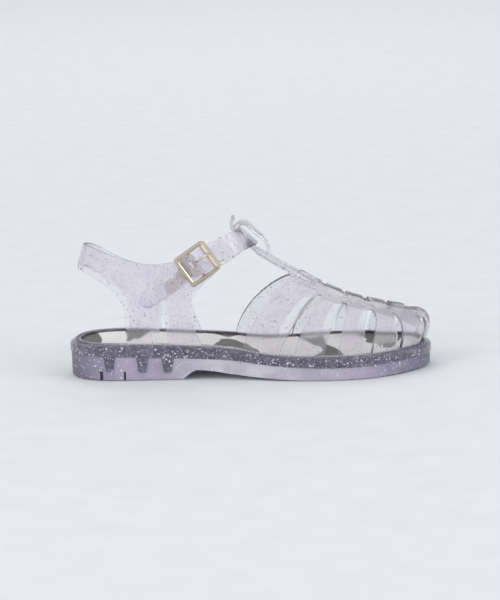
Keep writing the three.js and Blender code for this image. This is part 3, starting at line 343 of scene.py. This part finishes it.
def pad_weave(tree, place):
    """Height of the woven grain on the raised pads of the spine, and zero away from them."""
    across = add_node(
        tree, "TexWave", {"bands_direction": "X", "Scale": WAVE_TURN / PAD_THREAD}, Vector=place)
    along = add_node(
        tree, "TexWave", {"bands_direction": "Y", "Scale": WAVE_TURN / PAD_THREAD}, Vector=place)
    weave = add_node(
        tree, "Math", {"operation": "MULTIPLY"}, i0=across.outputs["Fac"], i1=along.outputs["Fac"])
    parts = add_node(tree, "SeparateXYZ", None, Vector=place)
    aside = add_node(tree, "Math", {"operation": "ABSOLUTE"}, i0=parts.outputs["Y"])
    narrow = add_node(tree, "Math", {"operation": "LESS_THAN", 1: PAD_HALF_WIDTH}, i0=aside.outputs[0])
    behind = add_node(tree, "Math", {"operation": "GREATER_THAN", 1: PAD_FROM}, i0=parts.outputs["X"])
    facing = add_node(tree, "SeparateXYZ", None, Vector=add_node(tree, "NewGeometry").outputs["Normal"])
    upward = add_node(tree, "Math", {"operation": "GREATER_THAN", 1: 0.6}, i0=facing.outputs["Z"])
    middle = add_node(tree, "Math", {"operation": "MULTIPLY"}, i0=narrow.outputs[0], i1=behind.outputs[0])
    top = add_node(tree, "Math", {"operation": "MULTIPLY"}, i0=middle.outputs[0], i1=upward.outputs[0])
    height = add_node(tree, "Math", {"operation": "MULTIPLY"}, i0=weave.outputs[0], i1=top.outputs[0])
    return height.outputs[0]


def clear_vinyl():
    """Plasticised PVC, injection moulded: clear but milky, glossy, lilac at the edges, silver glitter."""
    material, tree = new_material("clear_lilac_pvc")
    place = add_node(tree, "TexCoord").outputs["Object"]
    mask, tone = glitter_mask(tree, place, 2.0 * MM, 0.42, 0.2)
    speck = add_node(
        tree, "ValToRGB",
        {"stops": [(0.0, linear("#8a8696")), (0.6, linear("#b5b1bf")), (1.0, colours().silver)]},
        Fac=tone).outputs["Color"]
    clear = add_node(tree, "MapRange", {"To Min": 0.93, "To Max": 0.2}, Value=mask)
    milk = add_node(tree, "TexNoise", {"Scale": 1 / (14 * MM), "Detail": 2.0}, Vector=place)
    tint = add_node(
        tree, "ValToRGB", {"stops": [(0.3, linear("#f8f6fc")), (0.65, colours().clear)]},
        Fac=milk.outputs["Fac"]).outputs["Color"]
    colour = add_node(tree, "Mix", {"data_type": "RGBA"}, i0=mask, i6=tint, i7=speck)
    ripple = add_node(
        tree, "TexNoise", {"Scale": 1 / (9 * MM), "Detail": 2.0, "Roughness": 0.5}, Vector=place)
    slow = add_node(tree, "Bump", {"Strength": 0.12, "Distance": 0.25 * MM}, Height=ripple.outputs["Fac"])
    bump = add_node(
        tree, "Bump", {"Strength": 0.8, "Distance": 0.3 * MM},
        Height=pad_weave(tree, place), Normal=slow.outputs[0])
    shader = add_node(
        tree, "BsdfPrincipled",
        {"Roughness": 0.14, "IOR": 1.4},
        Base_Color=colour.outputs[2], Transmission_Weight=clear.outputs["Result"], Normal=bump.outputs[0])
    depth = add_node(tree, "VolumeAbsorption", {"Color": (0.46, 0.42, 0.6, 1.0), "Density": 9.0})
    add_node(tree, "OutputMaterial", None, Surface=shader.outputs[0], Volume=depth.outputs[0])
    return material


def band_vinyl():
    """The same PVC seen through its whole depth at the sole's top: dark purple-grey, full of glitter."""
    material, tree = new_material("dark_glitter_pvc")
    place = add_node(tree, "TexCoord").outputs["Object"]
    clouds = add_node(
        tree, "TexNoise", {"Scale": 1 / (6 * MM), "Detail": 4.0, "Roughness": 0.6}, Vector=place)
    base = add_node(
        tree, "ValToRGB", {"stops": [
        (0.3, linear("#474356")), (0.5, colours().band), (0.72, linear("#777387"))]},
        Fac=clouds.outputs["Fac"]).outputs["Color"]
    mask, tone = glitter_mask(tree, place, 1.25 * MM, 0.42, 0.34)
    fine, fine_tone = glitter_mask(tree, place, 0.62 * MM, 0.3, 0.4)
    speck = add_node(
        tree, "ValToRGB",
        {"stops": [(0.0, linear("#7c778c")), (0.55, linear("#aaa6b8")), (1.0, colours().silver)]},
        Fac=tone).outputs["Color"]
    dusted = add_node(tree, "Mix", {"data_type": "RGBA", 7: linear("#8d889c")}, i0=fine, i6=base)
    colour = add_node(tree, "Mix", {"data_type": "RGBA"}, i0=mask, i6=dusted.outputs[2], i7=speck)
    bump = add_node(tree, "Bump", {"Strength": 0.25, "Distance": 0.1 * MM}, Height=mask)
    shader = add_node(
        tree, "BsdfPrincipled",
        {"Roughness": 0.28, "IOR": 1.5, "Coat Weight": 0.6, "Coat Roughness": 0.08},
        Base_Color=colour.outputs[2], Normal=bump.outputs[0])
    add_node(tree, "OutputMaterial", None, Surface=shader.outputs[0])
    return material


def frosted_vinyl():
    """PVC moulded against a blasted tool: milky lilac side with soft clouds, glitter under the skin and
    painted shade toward the heel and toe ends.
    """
    material, tree = new_material("frosted_glitter_pvc")
    place = add_node(tree, "TexCoord").outputs["Object"]
    clouds = add_node(
        tree, "TexNoise", {"Scale": 1 / (22 * MM), "Detail": 3.0, "Roughness": 0.55}, Vector=place)
    milky = add_node(
        tree, "ValToRGB", {"stops": [(0.3, colours().frosted_deep), (0.62, colours().frosted)]},
        Fac=clouds.outputs["Fac"]).outputs["Color"]
    parts = add_node(tree, "SeparateXYZ", None, Vector=place)
    low, high = CAD_BOX
    share = add_node(
        tree, "MapRange", {"From Min": low.x, "From Max": high.x}, Value=parts.outputs["X"])
    # Painted shade: the side is darkest at the heel and toe ends and brightest in the middle
    end_shade = add_node(
        tree, "ValToRGB", {"stops": [
        (0.0, linear("#7d7a8b")), (0.14, linear("#cbc6d3")), (0.45, grey(1)), (0.82, linear("#cfcad6")),
        (1.0, linear("#81819a"))]},
        Fac=share.outputs["Result"]).outputs["Color"]
    base = add_node(
        tree, "Mix", {"data_type": "RGBA", "blend_type": "MULTIPLY", 0: 1.0}, i6=milky, i7=end_shade).outputs[2]
    mask, tone = glitter_mask(tree, place, 1.6 * MM, 0.3, 0.3)
    speck = add_node(
        tree, "ValToRGB",
        {"stops": [(0.0, linear("#8d889b")), (0.5, linear("#c9c5d2")), (1.0, linear("#e6e3ec"))]},
        Fac=tone).outputs["Color"]
    colour = add_node(tree, "Mix", {"data_type": "RGBA"}, i0=mask, i6=base, i7=speck)
    skin = add_node(tree, "TexNoise", {"Scale": 1 / (0.5 * MM), "Detail": 2.0}, Vector=place)
    bump = add_node(tree, "Bump", {"Strength": 0.2, "Distance": 0.08 * MM}, Height=skin.outputs["Fac"])
    shader = add_node(
        tree, "BsdfPrincipled",
        {"Roughness": 0.5, "IOR": 1.5, "Subsurface Weight": 0.35, "Subsurface Scale": 3 * MM,
         "Subsurface Radius": (1.0, 0.95, 1.0)},
        Base_Color=colour.outputs[2], Normal=bump.outputs[0])
    add_node(tree, "OutputMaterial", None, Surface=shader.outputs[0])
    return material


def insole_print():
    """Foamed vinyl sheet, printed: cream with dark olive brush strokes, satin and finely embossed."""
    material, tree = new_material("printed_foam_vinyl")
    place = add_node(tree, "TexCoord").outputs["Object"]
    turned = add_node(
        tree, "Mapping", {"Rotation": (0, 0, math.radians(24)), "Scale": (1.0, 0.42, 0.0)}, Vector=place)
    wander = add_node(
        tree, "TexNoise", {"Scale": 1 / (34 * MM), "Detail": 1.5, "Distortion": 0.6},
        Vector=turned.outputs[0])
    strokes = add_node(
        tree, "ValToRGB", {"stops": [(0.0, grey(0)), (0.5, grey(0)), (0.512, grey(1)), (1.0, grey(1))]},
        Fac=wander.outputs["Fac"]).outputs["Color"]
    bristle = add_node(tree, "Mapping", {"Scale": (0.25, 1.0, 0.0)}, Vector=place)
    streaks = add_node(
        tree, "TexNoise", {"Scale": 1 / (1.1 * MM), "Detail": 2.0}, Vector=bristle.outputs[0])
    ink = add_node(
        tree, "ValToRGB", {"stops": [(0.3, linear("#4e4b41")), (0.6, colours().olive)]},
        Fac=streaks.outputs["Fac"]).outputs["Color"]
    colour = add_node(tree, "Mix", {"data_type": "RGBA", 6: colours().cream}, i0=strokes, i7=ink)
    grain = add_node(tree, "TexVoronoi", {"Scale": 1 / (0.7 * MM)}, Vector=place)
    bump = add_node(
        tree, "Bump", {"Strength": 0.15, "Distance": 0.06 * MM}, Height=grain.outputs["Distance"])
    shader = add_node(
        tree, "BsdfPrincipled", {"Roughness": 0.45, "IOR": 1.46},
        Base_Color=colour.outputs[2], Normal=bump.outputs[0])
    add_node(tree, "OutputMaterial", None, Surface=shader.outputs[0])
    return material


def gold_plating():
    """Pale gold plating on cast zinc: bright and mirror-like, with a faint cast ripple."""
    material, tree = new_material("pale_gold_plating")
    place = add_node(tree, "TexCoord").outputs["Object"]
    ripple = add_node(tree, "TexNoise", {"Scale": 1 / (2.2 * MM), "Detail": 2.0}, Vector=place)
    roughness = add_node(
        tree, "ValToRGB", {"stops": [(0.3, grey(0.12)), (0.7, grey(0.22))]},
        Fac=ripple.outputs["Fac"]).outputs["Color"]
    bump = add_node(tree, "Bump", {"Strength": 0.06, "Distance": 0.1 * MM}, Height=ripple.outputs["Fac"])
    shader = add_node(
        tree, "BsdfPrincipled", {"Base Color": colours().gold, "Metallic": 1.0},
        Roughness=roughness, Normal=bump.outputs[0])
    add_node(tree, "OutputMaterial", None, Surface=shader.outputs[0])
    return material


def pearl_vinyl():
    """Clear PVC with pearl pigment, moulded: milky pink-white with a soft sheen."""
    material, tree = new_material("pearl_pvc")
    place = add_node(tree, "TexCoord").outputs["Object"]
    swirl = add_node(
        tree, "TexNoise", {"Scale": 1 / (3 * MM), "Detail": 3.0, "Distortion": 0.8}, Vector=place)
    colour = add_node(
        tree, "ValToRGB", {"stops": [(0.3, linear("#efe4e1")), (0.65, colours().pearl)]},
        Fac=swirl.outputs["Fac"]).outputs["Color"]
    shader = add_node(
        tree, "BsdfPrincipled",
        {"Roughness": 0.24, "IOR": 1.5, "Coat Weight": 0.5, "Coat Roughness": 0.1},
        Base_Color=colour)
    add_node(tree, "OutputMaterial", None, Surface=shader.outputs[0])
    return material


def silver_flake():
    """Aluminium glitter cut from film: bright, flat and slightly rough from the vinyl around it."""
    material, tree = new_material("silver_glitter_film")
    place = add_node(tree, "TexCoord").outputs["Object"]
    tone = add_node(tree, "TexNoise", {"Scale": 1 / (4 * MM), "Detail": 1.0}, Vector=place)
    colour = add_node(
        tree, "ValToRGB", {"stops": [(0.35, linear("#b9b6c4")), (0.6, linear("#f3f2f8"))]},
        Fac=tone.outputs["Fac"]).outputs["Color"]
    shader = add_node(tree, "BsdfPrincipled", {"Metallic": 0.55, "Roughness": 0.3}, Base_Color=colour)
    add_node(tree, "OutputMaterial", None, Surface=shader.outputs[0])
    return material


def backdrop_paper():
    """Seamless background paper, matt."""
    material, tree = new_material("background_paper")
    place = add_node(tree, "TexCoord").outputs["Object"]
    fibre = add_node(tree, "TexNoise", {"Scale": 40.0, "Detail": 2.0}, Vector=place)
    colour = add_node(
        tree, "ValToRGB", {"stops": [(0.0, linear("#e7e9ee")), (1.0, colours().backdrop)]},
        Fac=fibre.outputs["Fac"]).outputs["Color"]
    shader = add_node(tree, "BsdfPrincipled", {"Roughness": 0.9}, Base_Color=colour)
    add_node(tree, "OutputMaterial", None, Surface=shader.outputs[0])
    return material


# Pieces
class SANDAL_OT_sole(bpy.types.Operator):
    """Sole with its dark glitter band and teeth over the frosted side"""

    bl_idname = "sandal.sole"
    bl_label = "Sole"

    def execute(self, context):
        piece = merged_copy("outsole", CRISP_SOLE)
        finish_piece(piece, "sole", frosted_vinyl())
        piece.data.materials.append(band_vinyl())
        for face in piece.data.polygons:
            centre = face.center
            on_side = abs(face.normal.z) < SIDE_RISE
            above = centre.z > band_foot(centre.x) + BAND_MARGIN
            if (on_side and in_tooth(centre)) or above:
                face.material_index = 1
        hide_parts("outsole")
        return {"FINISHED"}


class SANDAL_OT_insole(bpy.types.Operator):
    """Printed insole"""

    bl_idname = "sandal.insole"
    bl_label = "Insole"

    def execute(self, context):
        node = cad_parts["insole"]
        node.data.materials.clear()
        node.data.materials.append(insole_print())
        return {"FINISHED"}


class SANDAL_OT_upper(bpy.types.Operator):
    """Clear upper with its cage, T-bar, quarters and ankle strap"""

    bl_idname = "sandal.upper"
    bl_label = "Upper"

    def execute(self, context):
        piece = merged_copy("upper", CRISP_UPPER)
        finish_piece(piece, "upper_shell", clear_vinyl())
        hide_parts("upper")
        return {"FINISHED"}


def seam_points():
    """Closed line above the seam between sole and upper, in order round the shoe."""
    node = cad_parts["insole"]
    corners = {}
    for vertex in node.data.vertices:
        place = vertex.co
        key = (round(place.x, 5), round(place.y, 5))
        corners[key] = max(corners.get(key, -1.0), place.z)
    low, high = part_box("insole")
    middle = (low + high) / 2
    outline = [Vector((x, y, z)) for (x, y), z in corners.items()]
    outline.sort(key=lambda point: math.atan2(point.y - middle.y, point.x - middle.x))
    return [point for point in outline if is_inner(point, outline)]


def is_inner(point, outline):
    """The insole's top edge stands a little inside its side, so it is the higher of two near corners."""
    near = [other for other in outline if (other - point).xy.length < RIM_CORNER_REACH]
    return point.z >= max(other.z for other in near)


def even_steps(points, pitch):
    """Places at an even pitch along a closed line, with the direction there."""
    lengths = [(points[(k + 1) % len(points)] - point).length for k, point in enumerate(points)]
    total = sum(lengths)
    count = int(total / pitch)
    places = []
    reached, side = 0.0, 0
    for step in range(count):
        wanted = step * total / count
        while reached + lengths[side] < wanted:
            reached += lengths[side]
            side += 1
        start = points[side]
        end = points[(side + 1) % len(points)]
        places.append((start.lerp(end, (wanted - reached) / lengths[side]), (end - start).normalized()))
    return places


class SANDAL_OT_bead(bpy.types.Operator):
    """Milled bead that runs round the shoe on the seam between sole and upper"""

    bl_idname = "sandal.bead"
    bl_label = "Milled bead"

    def execute(self, context):
        radius = sizes().bead_radius
        inner = seam_points()
        count = len(inner)
        seam = []
        for k, point in enumerate(inner):
            along = inner[(k + 1) % count] - inner[k - 1]
            outward = Vector((along.y, -along.x, 0.0)).normalized()
            seam.append(point + outward * SEAM_OUTWARD + Vector((0.0, 0.0, SEAM_ABOVE_INSOLE)))
        bpy.ops.mesh.primitive_ico_sphere_add(subdivisions=2, radius=radius)
        grain = bpy.context.object
        places = []
        for place, along in even_steps(seam, sizes().bead_pitch):
            turn = along.to_track_quat("X", "Z").to_matrix().to_4x4()
            places.append(Matrix.Translation(place) @ turn @ Matrix.Diagonal(GRAIN_SHAPE))
        piece = join_copies(grain, places, "bead")
        select_only(piece)
        bpy.ops.object.shade_smooth()
        finish_piece(piece, "milled_bead", frosted_vinyl())
        return {"FINISHED"}


class SANDAL_OT_buckle(bpy.types.Operator):
    """Grooved pale gold buckle with rollers and prong, and the pearl chape with its rivet"""

    bl_idname = "sandal.buckle"
    bl_label = "Buckle"

    def execute(self, context):
        gold = gold_plating()
        pearl = pearl_vinyl()
        frame_piece = merged_copy("buckle_frame", CRISP_FRAME)
        self.groove(frame_piece)
        finish_piece(frame_piece, "buckle_square", gold)
        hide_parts("buckle_frame")
        for node in ("buckle_roller_upper", "buckle_roller_lower", "buckle_prong"):
            piece = merged_copy(node, CRISP_ROLLER)
            finish_piece(piece, node + "_polished", gold)
            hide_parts(node)
        for node in ("buckle_chape", "buckle_rivet"):
            piece = merged_copy(node, CRISP_CHAPE)
            finish_piece(piece, node + "_moulded", pearl)
            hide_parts(node)
        return {"FINISHED"}

    def groove(self, piece):
        """Sinks a groove into the flat front of the square, between two ridges."""
        low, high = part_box("buckle_frame")
        middle = (low + high) / 2
        front = max(piece.data.polygons, key=lambda face: -face.normal.y * face.area)
        normal = front.normal.copy()
        level = max((face.center - middle).dot(normal) for face in piece.data.polygons)
        select_only(piece)
        bpy.ops.object.mode_set(mode="EDIT")
        bpy.ops.mesh.select_mode(type="FACE")
        bpy.ops.mesh.select_all(action="DESELECT")
        bpy.ops.object.mode_set(mode="OBJECT")
        for face in piece.data.polygons:
            on_front = (face.center - middle).dot(normal) > level - FRONT_REACH
            face.select = on_front and face.normal.dot(normal) > FRONT_SQUARE
        bpy.ops.object.mode_set(mode="EDIT")
        bpy.ops.mesh.inset(thickness=sizes().groove_lip, depth=0.0)
        bpy.ops.mesh.inset(thickness=GROOVE_WALL, depth=-sizes().groove_depth)
        bpy.ops.object.mode_set(mode="OBJECT")


def scattered_places(mesh, count, seed, allowed, sink):
    """Random places on a mesh's faces, weighted by area, turned to the face and tipped a little."""
    chance = random.Random(seed)
    faces = [face for face in mesh.polygons if allowed(face)]
    weights = [face.area for face in faces]
    places = []
    for face in chance.choices(faces, weights, k=count):
        corners = [mesh.vertices[k].co for k in face.vertices[:3]]
        first, second = chance.random(), chance.random()
        if first + second > 1:
            first, second = 1 - first, 1 - second
        point = corners[0] + first * (corners[1] - corners[0]) + second * (corners[2] - corners[0])
        turn = face.normal.to_track_quat("Z", "Y").to_matrix().to_4x4()
        spin = Matrix.Rotation(chance.uniform(0, math.tau), 4, "Z")
        tip = Matrix.Rotation(chance.gauss(0, FLAKE_TILT), 4, "X")
        size = chance.choice(FLAKE_SIZES)
        seat = Matrix.Translation(point - face.normal * sink)
        places.append(seat @ turn @ tip @ spin @ Matrix.Scale(size, 4))
    return places


def can_hold_flake(face, slot, zone, rise):
    """True for a face of the sole with the given material slot, off the floor and steep enough."""
    return face.material_index == slot and face.center.z > FLAKE_FLOOR[zone] and abs(face.normal.z) < rise


def star_flake():
    """One five-pointed glitter flake."""
    radius = sizes().flake_radius
    bpy.ops.mesh.primitive_circle_add(vertices=2 * STAR_POINTS, radius=radius, fill_type="NGON")
    flake = bpy.context.object
    for k, vertex in enumerate(flake.data.vertices):
        if k % 2:
            vertex.co *= STAR_WAIST
    select_only(flake)
    bpy.ops.object.mode_set(mode="EDIT")
    bpy.ops.mesh.select_all(action="SELECT")
    bpy.ops.mesh.extrude_region_move(TRANSFORM_OT_translate={"value": (0, 0, sizes().flake_thickness)})
    bpy.ops.mesh.select_all(action="SELECT")
    bpy.ops.mesh.normals_make_consistent(inside=False)
    bpy.ops.object.mode_set(mode="OBJECT")
    return flake


class SANDAL_OT_flakes(bpy.types.Operator):
    """Star-shaped silver flakes in the sole and in the upper"""

    bl_idname = "sandal.flakes"
    bl_label = "Star flakes"

    def execute(self, context):
        sole = bpy.data.objects["sole"]
        upper = bpy.data.objects["upper_shell"]
        film = silver_flake()
        places = scattered_places(
            sole.data, sizes().sole_flakes, FLAKE_SEED["band"],
            lambda face: can_hold_flake(face, 1, "band", FLAKE_RISE), FLAKE_SINK["sole"])
        places += scattered_places(
            sole.data, sizes().sole_flakes // SIDE_FLAKE_SHARE, FLAKE_SEED["side"],
            lambda face: can_hold_flake(face, 0, "side", SIDE_RISE), FLAKE_SINK["sole"])
        piece = join_copies(star_flake(), places, "flakes")
        finish_piece(piece, "sole_star_flakes", film)
        places = scattered_places(
            upper.data, sizes().upper_flakes, FLAKE_SEED["upper"], lambda face: True, FLAKE_SINK["upper"])
        piece = join_copies(star_flake(), places, "flakes")
        finish_piece(piece, "upper_star_flakes", film)
        return {"FINISHED"}


class SANDAL_OT_studio(bpy.types.Operator):
    """Pale paper sweep, soft lights and the camera at the photographer's place"""

    bl_idname = "sandal.studio"
    bl_label = "Studio"

    def execute(self, context):
        paper = self.sweep()
        self.lights()
        self.camera()
        scene = bpy.context.scene
        scene.view_settings.view_transform = "Standard"
        return {"FINISHED"}

    def sweep(self):
        bpy.ops.object.select_all(action="DESELECT")
        bpy.ops.mesh.primitive_plane_add(size=1.0, location=(0.0, 0.0, 0.0))
        paper = bpy.context.object
        bpy.ops.object.mode_set(mode="EDIT")
        bpy.ops.mesh.select_mode(type="VERT")
        bpy.ops.mesh.select_all(action="SELECT")
        bpy.ops.transform.resize(value=(SWEEP_WIDTH, 2 * SWEEP_BACK, 1.0))
        bpy.ops.mesh.select_all(action="DESELECT")
        bpy.ops.object.mode_set(mode="OBJECT")
        for vertex in paper.data.vertices:
            vertex.select = vertex.co.y > 0
        bpy.ops.object.mode_set(mode="EDIT")
        step = math.pi / 2 / SWEEP_STEPS
        for k in range(SWEEP_STEPS):
            turn = (k + 0.5) * step
            length = 2 * SWEEP_RADIUS * math.sin(step / 2)
            move = (0.0, length * math.cos(turn), length * math.sin(turn))
            bpy.ops.mesh.extrude_region_move(TRANSFORM_OT_translate={"value": move})
        bpy.ops.mesh.extrude_region_move(TRANSFORM_OT_translate={"value": (0.0, 0.0, SWEEP_RADIUS)})
        bpy.ops.object.mode_set(mode="OBJECT")
        bpy.ops.object.shade_smooth()
        paper.name = "paper_sweep"
        paper.data.materials.append(backdrop_paper())
        return paper

    def lights(self):
        world = bpy.context.scene.world or bpy.data.worlds.new("studio")
        bpy.context.scene.world = world
        world.use_nodes = True
        world.node_tree.nodes["Background"].inputs["Color"].default_value = linear("#f8f9fc")
        world.node_tree.nodes["Background"].inputs["Strength"].default_value = 0.68
        for name, place, size, power in (
            ("back_softbox", (0.0, 2.2, 2.4), 1.8, 18.0),
            ("left_softbox", (-1.6, -1.2, 1.1), 1.2, 13.0),
            ("right_softbox", (1.7, -0.8, 0.9), 1.0, 9.0),
        ):
            lamp = bpy.data.lights.new(name, "AREA")
            lamp.shape = "SQUARE"
            lamp.size = size
            lamp.energy = power
            item = bpy.data.objects.new(name, lamp)
            bpy.context.scene.collection.objects.link(item)
            item.location = place
            aim = Vector((0.0, max(place[1], 0.0), 0.0))
            item.rotation_euler = (aim - item.location).to_track_quat("-Z", "Y").to_euler()

    def camera(self):
        lens = bpy.data.cameras.new("camera")
        lens.lens = VIEW_LENS
        lens.sensor_width = SENSOR
        lens.clip_end = 20.0
        item = bpy.data.objects.new("camera", lens)
        bpy.context.scene.collection.objects.link(item)
        away = Vector((0.0, -math.cos(VIEW_ELEVATION), math.sin(VIEW_ELEVATION)))
        item.location = VIEW_TARGET + away * VIEW_DISTANCE
        straight = (-away).to_track_quat("-Z", "Y").to_matrix()
        item.rotation_euler = (straight @ Matrix.Rotation(-VIEW_ROLL, 3, "Z")).to_euler()
        bpy.context.scene.camera = item


class SANDAL_PT_panel(bpy.types.Panel):
    """Lists the sandal's pieces, sizes and colours"""

    bl_label = "Jelly sandal"
    bl_idname = "SANDAL_PT_panel"
    bl_space_type = "VIEW_3D"
    bl_region_type = "UI"
    bl_category = "Sandal"

    def draw(self, context):
        for step in STEPS:
            self.layout.operator(step.bl_idname)
        for group in (context.scene.sandal_sizes, context.scene.sandal_colours):
            for key in group.__annotations__:
                self.layout.prop(group, key)


STEPS = (
    SANDAL_OT_sole, SANDAL_OT_insole, SANDAL_OT_upper, SANDAL_OT_bead, SANDAL_OT_buckle, SANDAL_OT_flakes,
    SANDAL_OT_studio,
)
CLASSES = (SandalSizes, SandalColours, *STEPS, SANDAL_PT_panel)


def register():
    for item in CLASSES:
        bpy.utils.register_class(item)
    bpy.types.Scene.sandal_sizes = bpy.props.PointerProperty(type=SandalSizes)
    bpy.types.Scene.sandal_colours = bpy.props.PointerProperty(type=SandalColours)


def unregister():
    del bpy.types.Scene.sandal_colours
    del bpy.types.Scene.sandal_sizes
    for item in reversed(CLASSES):
        bpy.utils.unregister_class(item)


def main():
    register()
    for step in STEPS:
        family, action = step.bl_idname.split(".")
        getattr(getattr(bpy.ops, family), action)()


if __name__ == "__main__":
    main()
